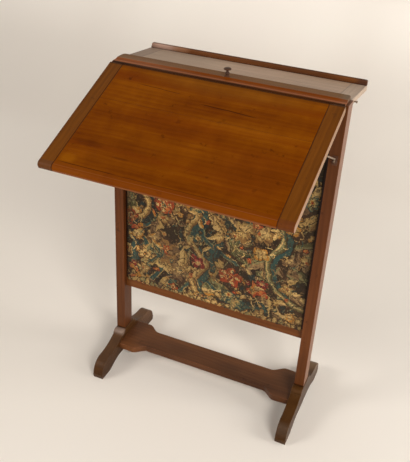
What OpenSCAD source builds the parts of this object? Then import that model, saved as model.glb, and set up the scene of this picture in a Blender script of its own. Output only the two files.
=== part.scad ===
// Fire screen desk: sledge feet, grooved posts, a needlework screen that lifts between them,
// a writing slope on hinges in front with iron stays, and a narrow shelf with a gallery behind.
// Millimetres. X runs to the right, Y to the back, Z up. The origin is on the floor, under the
// middle of the open desk seen from above. The slope is drawn open, the screen is drawn down.

/* [Stand] */
// Width over the two posts
stand_w = 600; // [540:1:680]
// Width of a post, seen from the front
post_w = 27; // [25:0.5:34]
// Depth of a post, seen from the side
post_d = 43; // [41:0.5:52]
// Height of the post tops above the floor
post_top = 928.5; // [880:0.5:980]
// Length of a foot from front to back
foot_l = 332; // [300:1:380]
// Width of a foot
foot_w = 30; // [28:0.5:36]
// Height of a foot under its post
foot_h = 92; // [86:0.5:104]
// Height of the toes above the floor, where the foot rounds down
toe_h = 57; // [48:0.5:62]
// Length of the rounded end of a toe
toe_l = 44; // [34:1:54]
// Height of the upright edge at the end of a toe
toe_edge = 14; // [8:0.5:18]
// Width of the ledge over that edge
toe_step = 2; // [1:0.25:3]
// How far a sole pad stops short of the toe's end
pad_back = 4; // [2:0.5:8]
// Width of the flat on top of a foot, in front of its post and behind
collar_l = 8; // [4:0.5:12]
// Radius of the quarter round between that flat and the toe
collar_r = 14; // [8:0.5:18]
// Length of each sole pad on the floor
pad_l = 44; // [34:1:60]
// Height of the arch under a foot
arch_h = 20; // [12:0.5:26]
// Length of the tenon under a post
post_tenon_l = 50; // [30:1:56]
// Thickness of that tenon, across the foot
post_tenon_t = 12; // [8:0.5:14]
// Set-back of that tenon from the post's front and back
post_tenon_in = 7; // [4:0.5:10]
// Thickness of the stretcher board
stretcher_t = 18; // [14:0.5:22]
// Height of the stretcher's top face above the floor
stretcher_z = 64; // [56:0.5:68]
// Depth of the stretcher at its two ends
stretcher_end_d = 124; // [110:1:130]
// Depth of the stretcher at its waist
stretcher_waist_d = 76; // [60:1:90]
// Length of the curved shoulder between end and waist
shoulder_l = 40; // [30:1:60]
// Length of the wide part of the stretcher beside each foot
stretcher_end_l = 44; // [30:1:60]
// Length of the stretcher's tenons in the feet
stretcher_tenon_l = 7; // [5:0.5:8]
// Set-back of those tenons from the stretcher's top and bottom
stretcher_tenon_in = 4; // [3:0.5:5]
// Set-back of those tenons from the waist's front and back
stretcher_tenon_side = 8; // [4:0.5:16]

/* [Top of the frame] */
// Height of the two top rails
rail_h = 62; // [48:0.5:72]
// Thickness of a top rail
rail_t = 12; // [10:0.5:12.5]
// Thickness of the rail tenons
rail_tenon_t = 6; // [4:0.5:8]
// Length of the rail tenons
rail_tenon_l = 14; // [8:0.5:18]
// Set-back of the rail tenons from the rail's top and bottom
rail_tenon_in = 8; // [5:0.5:12]
// Depth of the bearer behind the posts
bearer_d = 24; // [18:0.5:30]
// Height of the bearer's underside below the post tops
bearer_drop = 48; // [36:0.5:56]
// How far the bearer stops short of the posts' outer sides
bearer_inset = 10; // [6:0.5:20]

/* [Screen] */
// Width of the groove in each post
groove_w = 14.2; // [13.8:0.1:15.4]
// Depth of the groove in each post
groove_d = 9; // [6:0.5:12]
// Height of the foot of the groove above the floor
groove_z = 246.5; // [200:0.5:300]
// Thickness of the screen's frame
screen_t = 13; // [12:0.1:13.4]
// Width of the screen's stiles
stile_w = 30; // [24:0.5:38]
// Height of the screen's bottom rail
screen_low_h = 30; // [24:0.5:40]
// Height of the screen's top rail
screen_top_h = 46; // [30:0.5:56]
// Thickness of the tenons between the rails and stiles of the screen
screen_tenon_t = 5; // [3:0.5:6]
// Length of those tenons
screen_tenon_l = 14; // [8:0.5:20]
// Set-back of those tenons from the edges of their piece
screen_tenon_in = 6; // [4:0.5:8]
// Side gap between the stiles and the foot of the groove
side_gap = 0.8; // [0.4:0.1:1.6]
// Thickness of the needlework
needle_t = 2; // [1:0.1:2.2]
// Thickness of the lining behind it
lining_t = 1; // [0.6:0.1:1.6]
// Strip of bottom rail left bare under the needlework
needle_low = 25; // [18:0.5:28]
// Gap between the needlework's right edge and the right post
needle_side = 7.5; // [4:0.5:12]
// Gap between the needlework's left edge and the left post
needle_left = 3.5; // [2:0.5:12]
// Distance from the cap rail down to the needlework's top edge
needle_high = 38; // [20:0.5:44]
// Depth of the cap rail from front to back
cap_d = 60; // [56:0.5:70]
// Thickness of the cap rail
cap_t = 8; // [7:0.5:12]
// Rounding of the cap rail's back corners
cap_corner = 13; // [6:0.5:20]
// How far the cap rail stops short of the posts' outer sides, at each end
cap_side = 7; // [1:0.5:20]
// Thickness of the cap rail's front edge
cap_nose_t = 5; // [4:0.5:6]
// Width of the flat band on top of that edge
cap_nose_l = 12; // [10:0.5:16]
// Width of the hollow that rises from the band to the cap rail's full thickness
cap_hollow = 11; // [8:0.5:14]
// Rounding of the cap rail's back edge
cap_round = 4; // [1:0.5:4]
// Gap under the cap rail over the post tops
cap_gap = 0.5; // [0.3:0.1:1.5]
// Diameter of the lift knob's head
knob_d = 19; // [14:0.5:26]
// Height of the lift knob above the cap rail
knob_h = 21.5; // [21:0.5:32]
// Radius of the knob's foot
knob_foot_r = 6.5; // [5:0.5:8]
// Radius of the knob's neck
knob_neck_r = 2.9; // [2.6:0.1:3.6]
// Radius of the dowel under the knob
dowel_r = 2.5; // [2:0.1:2.5]
// Depth of that dowel in the screen's top rail
dowel_l = 11; // [6:0.5:20]

/* [Writing slope] */
// How far the slope stops short of the posts' outer sides, at each end
slope_side = 4; // [1:0.5:20]
// Length of the slope from hinge edge to nosing
slope_l = 354; // [300:1:400]
// Thickness of the slope
slope_t = 17; // [15:0.5:22]
// Angle of the open slope below level, in degrees
slope_a = 23.4; // [20:0.1:26]
// Width of the cleats at both ends of the slope
cleat_w = 36; // [28:0.5:44]
// Thickness of the tongues on the boards' ends
tongue_t = 5; // [3:0.5:7]
// Length of the tongues
tongue_l = 10; // [6:0.5:16]
// Set-back of the tongues from the boards' front and back edges
tongue_in = 13; // [10:0.5:20]
// Rounding of the nosing's top edge
nosing_r = 9; // [3:0.5:10]
// Rounding of the nosing's lower edge
nosing_low_r = 3; // [1:0.5:3]
// Height of the hinge pins below the post tops
hinge_drop = 11.9; // [10:0.1:20]

/* [Shelf] */
// How far the shelf stops short of the posts' outer sides, at each end
shelf_side = 3.5; // [1:0.5:20]
// Depth of the shelf
shelf_d = 175; // [140:1:210]
// Thickness of the shelf
shelf_t = 14; // [12:0.5:18]
// Fall of the shelf towards its gallery, in degrees
shelf_a = 5.5; // [0:0.1:8]
// Height of the gallery above the shelf
gallery_h = 13.5; // [12:0.5:20]
// Thickness of the gallery
gallery_t = 13; // [10:0.5:14]
// Width of the step along the foot of the gallery
gallery_step = 2.5; // [1:0.5:3]
// Height of that step
gallery_step_h = 4; // [2:0.5:4.5]
// Rounding of the gallery's two ends
gallery_end_r = 5; // [2:0.5:7]
// Width of a bracket under the shelf
bracket_w = 20; // [14:0.5:28]
// Distance from a post's inner side to the middle of a bracket
bracket_in = 83; // [40:1:120]
// Length of a bracket behind the bearer
bracket_l = 116; // [90:1:130]
// Height of a bracket's tip below the post tops
bracket_tip = 32; // [28:0.5:34]
// Set-back of a bracket's tenon from its sides
bracket_tenon_in = 4; // [2:0.5:6]
// Length of a bracket's tenon in the bearer
bracket_tenon_l = 14; // [8:0.5:18]
// Height of a bracket's tenon
bracket_tenon_h = 14; // [8:0.5:16]
// Radius of the pins in the shelf's ends
shelf_pin_r = 1.7; // [1.2:0.1:2]
// Radius of those pins' heads
shelf_head_r = 3; // [2.2:0.1:3.6]
// How far those pins stand out of the shelf's ends
shelf_pin_out = 8.4; // [5:0.1:10]
// Distance of those pins behind the posts
shelf_pin_y = 26; // [16:0.5:40]
// Height of those pins above the shelf's underside
shelf_pin_z = 5; // [4.5:0.1:7]

/* [Hinges and stays] */
// Distance from a post's inner side to the middle of a hinge
hinge_in = 83; // [50:1:120]
// Length of a hinge
hinge_l = 60; // [50:1:80]
// Thickness of the hinge leaves
leaf_t = 1.6; // [1.2:0.1:2]
// Height of a hinge leaf from the pin
leaf_h = 26; // [22:0.5:32]
// Radius of the hinge knuckles
knuckle_r = 3.1; // [2.8:0.1:3.6]
// Radius of the hinge pins and stay pins
pin_r = 1.5; // [1.2:0.1:1.8]
// Running clearance round the pins
pin_gap = 0.05; // [0.03:0.01:0.1]
// Gap between knuckles and round them
knuckle_gap = 0.4; // [0.3:0.05:0.6]
// Radius of a screw's shank
screw_r = 1.5; // [1.2:0.1:1.7]
// Radius of a screw's head
screw_head_r = 3; // [2.6:0.1:3.4]
// Length of the hinge screws
screw_l = 10; // [7:0.5:11]
// Distance of the hinge screws from the pin
screw_off = 16; // [13:0.5:19]
// Distance of a stay from the outer side of its post
stay_inset = 12; // [9:0.5:14]
// Height of the stay pins below the post tops
stay_drop = 134.5; // [115:0.5:160]
// Radius of the stay rods
rod_r = 2; // [1.6:0.1:2.2]
// Length of the bend at the foot of a stay
stay_bend = 6; // [5:0.5:9]
// Angle of the stay rods above level, in degrees
stay_a = 26; // [22:0.5:30]
// Gap between a stay's tip and the slope
stay_gap = 0.3; // [0.2:0.05:0.6]
// Gap of each cheek of a stay plate from the rod
cheek_gap = 0.4; // [0.3:0.05:0.6]
// Thickness of those cheeks
cheek_t = 1.8; // [1.4:0.1:2.2]
// Wall round the holes in the cheeks and in the stays' eyes
eye_wall = 2.1; // [1.6:0.1:2.4]
// Thickness of a stay plate
plate_t = 1.5; // [1.2:0.1:2]
// Height of a stay plate
plate_h = 24; // [24:0.5:36]
// How far a stay plate is wider than its cheeks, on each side
plate_edge = 2; // [1:0.5:3]
// Length of the stay plates' screws
plate_screw_l = 9; // [6:0.5:10]
// Radius of those screws
plate_screw_r = 1; // [0.8:0.1:1.2]

/* [Fits] */
// Gap round tenons and tongues
fit = 0.1; // [0.05:0.01:0.2]

/* [Hidden] */
$fn = 48;
half_w = stand_w / 2;
half_d = post_d / 2;
post_mid = half_w - post_w / 2;
post_in = half_w - post_w;
foot_in = post_mid - foot_w / 2;
toe_y = foot_l / 2 - toe_l;
hinge_y = -half_d - knuckle_r - knuckle_gap;
hinge_z = post_top - hinge_drop;
slope_u = knuckle_r + knuckle_gap + 0.3;
slope_v = leaf_t - 0.4;
slope_w = stand_w - 2 * slope_side;
shelf_w = stand_w - 2 * shelf_side;
cleat_in = slope_w / 2 - cleat_w;
shelf_in = shelf_w / 2 - cleat_w;
hinge_x = post_in - hinge_in;
bracket_x = post_in - bracket_in;
shelf_z = post_top - shelf_t - 0.1;
gallery_r = (gallery_t - gallery_step) / 2;
cap_z = post_top + cap_gap;
cap_x = half_w - cap_side;
stile_out = post_in + groove_d - side_gap;
stile_in = stile_out - stile_w;
screen_z = groove_z + 0.3;
stile_z = screen_z + screen_low_h;
needle_x = post_in - needle_side;
needle_x0 = needle_left - post_in;
needle_z = screen_z + needle_low;
needle_top = cap_z - needle_high;
stay_x = half_w - stay_inset;
stay_z = post_top - stay_drop;
eye_r = pin_r + eye_wall;
stay_y = -half_d - plate_t - eye_r - rod_r * 0.35;
plate_w = 2 * (rod_r + cheek_gap + cheek_t + plate_edge);
plate_screw_z = plate_h / 2 - 4;
screw_head_h = leaf_t;
bearer_low = post_top - bearer_drop;
bearer_y = half_d + bearer_d;
rail_y = half_d - rail_t;

wood = [0.42, 0.2, 0.1];
wood_light = [0.55, 0.28, 0.12];
iron = [0.2, 0.19, 0.18];
brass = [0.6, 0.48, 0.24];

// A box from low corner to high corner
module span(a, b) {
  translate(a) cube(b - a);
}

// Lays a drawing of the Y-Z plane out along X, from x0 to x1
module along_x(x0, x1) {
  translate([x0, 0, 0]) rotate([90, 0, 90]) linear_extrude(x1 - x0) children();
}

// Round bar along X
module bar_x(x0, x1, r) {
  translate([x0, 0, 0]) rotate([0, 90, 0]) cylinder(h = x1 - x0, r = r);
}

// The same piece on the left and on the right
module both() {
  children();
  mirror([1, 0, 0]) children();
}

// Frame of the open slope: Y runs from the hinge pin to the nosing, Z out of the writing side
module on_slope() {
  translate([0, hinge_y, hinge_z]) rotate([slope_a, 0, 0]) mirror([0, 1, 0]) children();
}

// Frame of the shelf: Y runs from the posts to the gallery, Z up out of the board
module on_shelf() {
  translate([0, half_d, shelf_z]) rotate([-shelf_a, 0, 0]) children();
}

// Front of the open slope's nosing and back of the gallery, before the move to the origin
front_y = hinge_y - (slope_u + slope_l - nosing_r) * cos(slope_a)
  - (slope_v + slope_t - nosing_r) * sin(slope_a) - nosing_r;
back_y = half_d + (shelf_d - gallery_r) * cos(shelf_a)
  + (shelf_t + gallery_h - gallery_r) * sin(shelf_a) + gallery_r;

// Moves the posts' middle plane so that the open desk lies evenly about the origin
module place() {
  translate([0, -(front_y + back_y) / 2, 0]) children();
}

// Feet

// The same points on the other side of the middle, in reverse order
function flip(pts) = [for (i = [len(pts) - 1 : -1 : 0]) [-pts[i][0], pts[i][1]]];

// Quarter round from the flat on top of the foot down to the fall
function collar_pts(n) = [for (i = [0 : n])
  let (t = 90 * i / n)
  [half_d + collar_l + collar_r * sin(t), foot_h - collar_r + collar_r * cos(t)]];

// Hollow fall from the quarter round to the toe
function fall_pts(n) = [for (i = [1 : n])
  let (t = i / n, y0 = half_d + collar_l + collar_r)
  [y0 + (toe_y - y0) * t, toe_h + (foot_h - collar_r - toe_h) * pow(1 - t, 2)]];

// Round end of the toe
function toe_pts(n) = [for (i = [1 : n])
  let (t = 90 * i / n)
  [toe_y + (toe_l - toe_step) * sin(t), toe_edge + (toe_h - toe_edge) * cos(t)]];

// Arch between the sole pad and the middle of the foot
function arch_pts(n) = [for (i = [0 : n])
  let (t = i / n, y = foot_l / 2 - pad_back - pad_l) [y * (1 - 0.55 * t), arch_h * sin(90 * t)]];

module foot_outline() {
  back = concat(collar_pts(8), fall_pts(8), toe_pts(8),
    [[foot_l / 2, toe_edge - 0.5], [foot_l / 2 - pad_back, 0]], arch_pts(8));
  polygon(concat(back, flip(back)));
}

module post_tenon(grow) {
  span([post_mid - post_tenon_t / 2 - grow, -half_d + post_tenon_in - grow,
      foot_h - post_tenon_l - grow],
    [post_mid + post_tenon_t / 2 + grow, half_d - post_tenon_in + grow, foot_h + 1]);
}

module stretcher_tenon(grow) {
  y = stretcher_waist_d / 2 - stretcher_tenon_side;
  span([foot_in - 1, -y - grow, stretcher_z - stretcher_t + stretcher_tenon_in - grow],
    [foot_in + stretcher_tenon_l + grow, y + grow, stretcher_z - stretcher_tenon_in + grow]);
}

module foot() {
  difference() {
    along_x(foot_in, foot_in + foot_w) foot_outline();
    post_tenon(fit);
    stretcher_tenon(fit);
  }
}

// Stretcher

function ease(t) = t * t * (3 - 2 * t);

// Back edge of the stretcher's right half, from the waist to the foot
function edge_pts(n) = [for (i = [n : -1 : 0])
  let (t = i / n, w0 = stretcher_end_d / 2, w1 = stretcher_waist_d / 2)
  [foot_in - stretcher_end_l - shoulder_l * t, w0 + (w1 - w0) * ease(t)]];

module stretcher() {
  half = concat(edge_pts(14), [[foot_in, stretcher_end_d / 2 - 2]]);
  back = concat(flip(half), half);
  translate([0, 0, stretcher_z - stretcher_t]) linear_extrude(stretcher_t)
    polygon(concat(back, [for (i = [len(back) - 1 : -1 : 0]) [back[i][0], -back[i][1]]]));
  both() stretcher_tenon(0);
}

// Posts and top rails

module rail_tenon(x0, x1, grow) {
  mid = half_d - rail_t / 2;
  span([x0 - grow, mid - rail_tenon_t / 2 - grow, post_top - rail_h + rail_tenon_in - grow],
    [x1 + grow, mid + rail_tenon_t / 2 + grow, post_top - rail_tenon_in + grow]);
}

module post() {
  difference() {
    union() {
      span([post_in, -half_d, foot_h], [half_w, half_d, post_top]);
      post_tenon(0);
    }
    span([post_in - 1, -groove_w / 2, groove_z], [post_in + groove_d, groove_w / 2, post_top + 1]);
    rail_tenon(post_in - 1, post_in + rail_tenon_l, fit);
    mirror([0, 1, 0]) rail_tenon(post_in - 1, post_in + rail_tenon_l, fit);
    plate_screws(fit / 2, 1);
  }
}

module top_rail() {
  span([-post_in, rail_y, post_top - rail_h], [post_in, half_d, post_top]);
  rail_tenon(post_in - 1, post_in + rail_tenon_l, 0);
  mirror([1, 0, 0]) rail_tenon(post_in - 1, post_in + rail_tenon_l, 0);
}

module front_top_rail() {
  difference() {
    mirror([0, 1, 0]) top_rail();
    hinge_places() rail_screws(fit / 2);
  }
}

// Shelf

// All that lies above the shelf's underside, cut from what carries the shelf
module above_shelf() {
  on_shelf() span([-half_w, -post_d, 0], [half_w, shelf_d + post_d, post_top]);
}

module shelf_bearer() {
  difference() {
    span([-half_w + bearer_inset, half_d, bearer_low], [half_w - bearer_inset, bearer_y, post_top]);
    above_shelf();
    both() bracket_tenon(fit);
  }
}

module bracket_tenon(grow) {
  x = bracket_w / 2 - bracket_tenon_in;
  z = bearer_low + 8;
  translate([bracket_x, 0, 0]) span([-x - grow, bearer_y - bracket_tenon_l - grow, z - grow],
    [x + grow, bearer_y + 1, z + bracket_tenon_h + grow]);
}

module bracket() {
  low = bearer_low + 4;
  tip = post_top - bracket_tip;
  difference() {
    translate([bracket_x - bracket_w / 2, 0, 0]) along_x(0, bracket_w) polygon(concat(
      [[bearer_y, post_top]],
      [for (i = [0 : 12]) let (t = i / 12)
        [bearer_y + bracket_l * t, low + (tip - low) * ease(t)]],
      [[bearer_y + bracket_l, post_top]]));
    above_shelf();
  }
  bracket_tenon(0);
}

module shelf_tongue(grow) {
  span([shelf_in - 1, tongue_in - grow, shelf_t / 2 - tongue_t / 2 - grow],
    [shelf_in + tongue_l + grow, shelf_d - tongue_in + grow, shelf_t / 2 + tongue_t / 2 + grow]);
}

module shelf_board() {
  on_shelf() {
    span([-shelf_in, 0, 0], [shelf_in, shelf_d, shelf_t]);
    both() shelf_tongue(0);
  }
}

module shelf_cleat() {
  difference() {
    on_shelf() difference() {
      span([shelf_in, 0, 0], [shelf_w / 2, shelf_d, shelf_t]);
      shelf_tongue(fit);
    }
    shelf_pin(fit / 2);
  }
}

module gallery() {
  on_shelf() intersection() {
    translate([0, shelf_d - gallery_t, shelf_t]) along_x(-shelf_w / 2, shelf_w / 2) union() {
      translate([gallery_step, 0]) square([gallery_t - gallery_step, gallery_h - gallery_r]);
      square([gallery_t, gallery_step_h]);
      translate([gallery_step + gallery_r, gallery_h - gallery_r]) circle(r = gallery_r);
    }
    translate([0, shelf_d, shelf_t]) rotate([90, 0, 0]) linear_extrude(gallery_t) union() {
      span2([-shelf_w / 2, 0], [shelf_w / 2, gallery_h - gallery_end_r]);
      span2([-shelf_w / 2 + gallery_end_r, 0], [shelf_w / 2 - gallery_end_r, gallery_h]);
      for (k = [-1, 1]) translate([k * (shelf_w / 2 - gallery_end_r), gallery_h - gallery_end_r])
        circle(r = gallery_end_r);
    }
  }
}

module span2(a, b) {
  translate(a) square(b - a);
}

// Pin in the end of the shelf, with a flat head at its outer end
module shelf_pin(grow) {
  x = shelf_w / 2 + shelf_pin_out;
  on_shelf() translate([0, shelf_pin_y, shelf_pin_z]) {
    bar_x(shelf_w / 2 - 14 - grow, x, shelf_pin_r + grow);
    bar_x(x - 2.4, x, shelf_head_r);
  }
}

// Writing slope

module slope_outline() {
  u1 = slope_u + slope_l;
  v1 = slope_v + slope_t;
  union() {
    span2([slope_u, slope_v], [u1 - nosing_r, v1]);
    span2([slope_u, slope_v + nosing_low_r], [u1, v1 - nosing_r]);
    translate([u1 - nosing_r, v1 - nosing_r]) circle(r = nosing_r);
    translate([u1 - nosing_low_r, slope_v + nosing_low_r]) circle(r = nosing_low_r);
    span2([slope_u, slope_v], [u1 - nosing_low_r, slope_v + nosing_low_r + 1]);
  }
}

module slope_tongue(x0, x1, grow) {
  v = slope_v + slope_t / 2;
  span([x0, slope_u + tongue_in - grow, v - tongue_t / 2 - grow],
    [x1 + grow, slope_u + slope_l - tongue_in + grow, v + tongue_t / 2 + grow]);
}

module writing_board() {
  difference() {
    on_slope() {
      along_x(-cleat_in, cleat_in) slope_outline();
      both() slope_tongue(cleat_in - 1, cleat_in + tongue_l, 0);
    }
    hinge_places() slope_screws(fit / 2);
  }
}

module writing_cleat() {
  on_slope() difference() {
    along_x(cleat_in, slope_w / 2) slope_outline();
    slope_tongue(cleat_in - 1, cleat_in + tongue_l, fit);
  }
}

// Hinges

module hinge_places() {
  for (k = [-1, 1]) translate([k * hinge_x, 0, 0]) children();
}

// Length of one of the three knuckles, without the gaps
knuckle_l = (hinge_l - 2 * knuckle_gap) / 3;

module fixed_leaf() {
  difference() {
    union() {
      span([-hinge_l / 2, -half_d - leaf_t, hinge_z - leaf_h], [hinge_l / 2, -half_d, hinge_z + 1]);
      translate([0, hinge_y, hinge_z]) for (k = [0, 1])
        mirror([k, 0, 0]) bar_x(hinge_l / 2 - knuckle_l, hinge_l / 2, knuckle_r);
    }
    translate([0, hinge_y, hinge_z]) {
      bar_x(-knuckle_l / 2 - knuckle_gap, knuckle_l / 2 + knuckle_gap, knuckle_r + knuckle_gap);
      bar_x(-hinge_l / 2 - 1, hinge_l / 2 + 1, pin_r + pin_gap);
    }
    rail_screws(fit / 2);
  }
}

module slope_leaf() {
  difference() {
    on_slope() difference() {
      union() {
        span([-hinge_l / 2, 0, slope_v - leaf_t], [hinge_l / 2, leaf_h, slope_v]);
        bar_x(-knuckle_l / 2, knuckle_l / 2, knuckle_r);
      }
      for (k = [0, 1]) mirror([k, 0, 0])
        bar_x(knuckle_l / 2 + 0.01, hinge_l / 2 + 1, knuckle_r + knuckle_gap);
      bar_x(-hinge_l / 2 - 1, hinge_l / 2 + 1, pin_r + pin_gap);
    }
    slope_screws(fit / 2);
  }
}

// Hinge screw along Y, its head flush with the plane y = 0 and its point towards +Y
module screw(grow) {
  rotate([-90, 0, 0]) {
    cylinder(h = screw_head_h, r1 = screw_head_r + grow, r2 = screw_r + grow);
    cylinder(h = screw_l + grow, r = screw_r + grow);
  }
}

module screw_row(grow) {
  for (x = [-hinge_l / 3, 0, hinge_l / 3]) translate([x, 0, 0]) screw(grow);
}

module rail_screws(grow) {
  translate([0, -half_d - leaf_t, hinge_z - screw_off]) screw_row(grow);
}

module slope_screws(grow) {
  on_slope() translate([0, screw_off, slope_v - leaf_t]) rotate([90, 0, 0]) screw_row(grow);
}

module hinge_pin() {
  translate([0, hinge_y, hinge_z]) bar_x(-hinge_l / 2 - 0.6, hinge_l / 2 + 0.6, pin_r);
}

// Stays

// The two screws of a stay plate, or the holes for them when grown
module plate_screws(grow, hole) {
  for (k = [-1, 1])
    translate([stay_x, -half_d - plate_t, stay_z + k * plate_screw_z]) rotate([-90, 0, 0]) {
      cylinder(h = plate_screw_l + grow, r = plate_screw_r + grow);
      if (hole == 0) translate([0, 0, -0.8]) cylinder(h = 0.8, r = 2 * plate_screw_r);
    }
}

module stay_plate() {
  difference() {
    union() {
      span([stay_x - plate_w / 2, -half_d - plate_t, stay_z - plate_h / 2],
        [stay_x + plate_w / 2, -half_d, stay_z + plate_h / 2]);
      for (k = [0, 1]) translate([stay_x, 0, 0]) mirror([k, 0, 0])
        translate([rod_r + cheek_gap, 0, 0]) {
          translate([0, stay_y, stay_z]) bar_x(0, cheek_t, eye_r);
          span([0, stay_y, stay_z - eye_r], [cheek_t, -half_d, stay_z + eye_r]);
        }
    }
    translate([0, stay_y, stay_z]) bar_x(stay_x - 10, stay_x + 10, pin_r + pin_gap);
    plate_screws(fit / 2, 1);
  }
}

module stay_pin() {
  reach = rod_r + cheek_gap + cheek_t + 0.8;
  translate([0, stay_y, stay_z]) bar_x(stay_x - reach, stay_x + reach, pin_r);
}

// Length of the straight rod, up to the underside of the open slope
stay_by = stay_y - hinge_y;
stay_bz = stay_z + stay_bend - hinge_z;
stay_off = -stay_by * sin(slope_a) + stay_bz * cos(slope_a);
stay_climb = cos(stay_a) * sin(slope_a) + sin(stay_a) * cos(slope_a);
stay_run = (slope_v - stay_gap - rod_r * cos(stay_a + slope_a) - stay_off) / stay_climb;

module stay() {
  difference() {
    translate([stay_x, stay_y, stay_z]) {
      bar_x(-rod_r - 0.1, rod_r + 0.1, eye_r);
      cylinder(h = stay_bend, r = rod_r);
      translate([0, 0, stay_bend]) {
        sphere(r = rod_r + 0.2);
        rotate([90 - stay_a, 0, 0]) cylinder(h = stay_run, r = rod_r);
      }
    }
    translate([0, stay_y, stay_z]) bar_x(stay_x - 6, stay_x + 6, pin_r + pin_gap);
  }
}

// Screen

module stile() {
  difference() {
    union() {
      span([stile_in, -screen_t / 2, stile_z], [stile_out, screen_t / 2, cap_z]);
      low_tenon(0);
    }
    top_tenon(fit);
  }
}

// Tenon at the stile's foot, in the bottom rail that runs through under both stiles
module low_tenon(grow) {
  span([stile_in + screen_tenon_in - grow, -screen_tenon_t / 2 - grow,
      stile_z - screen_tenon_l - grow],
    [stile_out - screen_tenon_in + grow, screen_tenon_t / 2 + grow, stile_z + 1]);
}

// Tenon at the top rail's end, in the stile
module top_tenon(grow) {
  span([stile_in - 1, -screen_tenon_t / 2 - grow, cap_z - screen_top_h + screen_tenon_in - grow],
    [stile_in + screen_tenon_l + grow, screen_tenon_t / 2 + grow, cap_z - screen_tenon_in + grow]);
}

module screen_bottom_rail() {
  difference() {
    span([-stile_out, -screen_t / 2, screen_z], [stile_out, screen_t / 2, stile_z]);
    both() low_tenon(fit);
  }
}

module screen_top_rail() {
  difference() {
    union() {
      span([-stile_in, -screen_t / 2, cap_z - screen_top_h], [stile_in, screen_t / 2, cap_z]);
      both() top_tenon(0);
    }
    dowel(fit);
  }
}

// Cap rail seen from its end: round front edge, flat band, hollow and raised field
module cap_outline() {
  rise = cap_t - cap_nose_t;
  hollow_r = (cap_hollow * cap_hollow + rise * rise) / (2 * rise);
  difference() {
    union() {
      span2([-cap_d / 2 + cap_nose_t / 2, 0], [cap_d / 2 - cap_round, cap_t]);
      span2([-cap_d / 2 + cap_nose_t / 2, 0], [cap_d / 2, cap_t - cap_round]);
      translate([-cap_d / 2 + cap_nose_t / 2, cap_nose_t / 2]) circle(r = cap_nose_t / 2);
      translate([cap_d / 2 - cap_round, cap_t - cap_round]) circle(r = cap_round);
    }
    span2([-cap_d / 2 - 1, cap_nose_t], [-cap_d / 2 + cap_nose_l, cap_t + 1]);
    translate([-cap_d / 2 + cap_nose_l, cap_nose_t + hollow_r]) circle(r = hollow_r);
  }
}

module cap_rail() {
  difference() {
    intersection() {
      translate([0, 0, cap_z]) along_x(-cap_x, cap_x) cap_outline();
      translate([0, 0, cap_z - 1]) linear_extrude(cap_t + 2) union() {
        span2([-cap_x, -cap_d / 2 - 1], [cap_x, cap_d / 2 - cap_corner]);
        span2([-cap_x + cap_corner, 0], [cap_x - cap_corner, cap_d / 2 + 1]);
        for (k = [-1, 1]) translate([k * (cap_x - cap_corner), cap_d / 2 - cap_corner])
          circle(r = cap_corner);
      }
    }
    dowel(fit);
  }
}

// Dowel of the lift knob, through the cap rail into the screen's top rail
module dowel(grow) {
  translate([0, 0, cap_z - dowel_l - grow]) cylinder(h = dowel_l + cap_t + 1 + grow, r = dowel_r + grow);
}

// Turned knob: a foot, a ring, a neck and a flat round head
module lift_knob() {
  r = knob_d / 2;
  head_z = knob_h - 7;
  ring_r = knob_foot_r - 0.5;
  translate([0, 0, cap_z + cap_t]) rotate_extrude() polygon([[0, 0], [knob_foot_r, 0],
    [knob_foot_r, 1.6], [ring_r - 1, 2.6], [ring_r - 1.8, 4], [ring_r - 0.4, 6], [ring_r, 7.6],
    [ring_r - 1, 9.6], [knob_neck_r + 0.5, 11.4], [knob_neck_r, 13], [knob_neck_r, head_z],
    [knob_neck_r + 1.1, head_z + 0.9], [r - 2, head_z + 1.5], [r - 0.5, head_z + 2.3],
    [r, head_z + 3.6], [r - 0.7, head_z + 4.9], [r - 2.6, head_z + 5.9], [r - 5.4, head_z + 6.6],
    [0, knob_h]]);
  dowel(0);
}

module needlework() {
  span([needle_x0, -screen_t / 2 - needle_t, needle_z], [needle_x, -screen_t / 2, needle_top]);
}

module screen_lining() {
  span([needle_x0, screen_t / 2, needle_z], [needle_x, screen_t / 2 + lining_t, needle_top]);
}

color(wood) place() mirror([1, 0, 0]) foot();  // left_foot
color(wood) place() foot();  // right_foot
color(wood) place() stretcher();
color(wood) place() mirror([1, 0, 0]) post();  // left_post
color(wood) place() post();  // right_post
color(wood) place() front_top_rail();
color(wood) place() top_rail();  // back_top_rail
color(wood) place() shelf_bearer();
color(wood) place() both() bracket();  // shelf_brackets
color(wood_light) place() shelf_board();
color(wood) place() mirror([1, 0, 0]) shelf_cleat();  // shelf_left_cleat
color(wood) place() shelf_cleat();  // shelf_right_cleat
color(wood) place() gallery();  // shelf_gallery
color(iron) place() both() shelf_pin(0);  // shelf_pins
color(brass) place() hinge_places() fixed_leaf();  // hinge_fixed_leaves
color(iron) place() hinge_places() hinge_pin();  // hinge_pins
color(iron) place() hinge_places() rail_screws(0);  // hinge_rail_screws
color(iron) place() both() stay_plate();  // stay_plates
color(iron) place() both() stay_pin();  // stay_pins
color(iron) place() both() plate_screws(0, 0);  // stay_plate_screws
color(wood_light) place() writing_board();
color(wood) place() mirror([1, 0, 0]) writing_cleat();  // writing_left_cleat
color(wood) place() writing_cleat();  // writing_right_cleat
color(brass) place() hinge_places() slope_leaf();  // hinge_slope_leaves
color(iron) place() hinge_places() slope_screws(0);  // hinge_slope_screws
color(iron) place() mirror([1, 0, 0]) stay();  // left_stay
color(iron) place() stay();  // right_stay
color(wood) place() mirror([1, 0, 0]) stile();  // screen_left_stile
color(wood) place() stile();  // screen_right_stile
color(wood) place() screen_bottom_rail();
color(wood) place() screen_top_rail();
color(wood) place() cap_rail();
color(wood) place() lift_knob();
color([0.2, 0.16, 0.12]) place() needlework();
color([0.5, 0.42, 0.3]) place() screen_lining();
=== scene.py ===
"""Fire screen desk: looks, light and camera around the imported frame.

Metres, +Z up, +Y to the back.
"""

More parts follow.
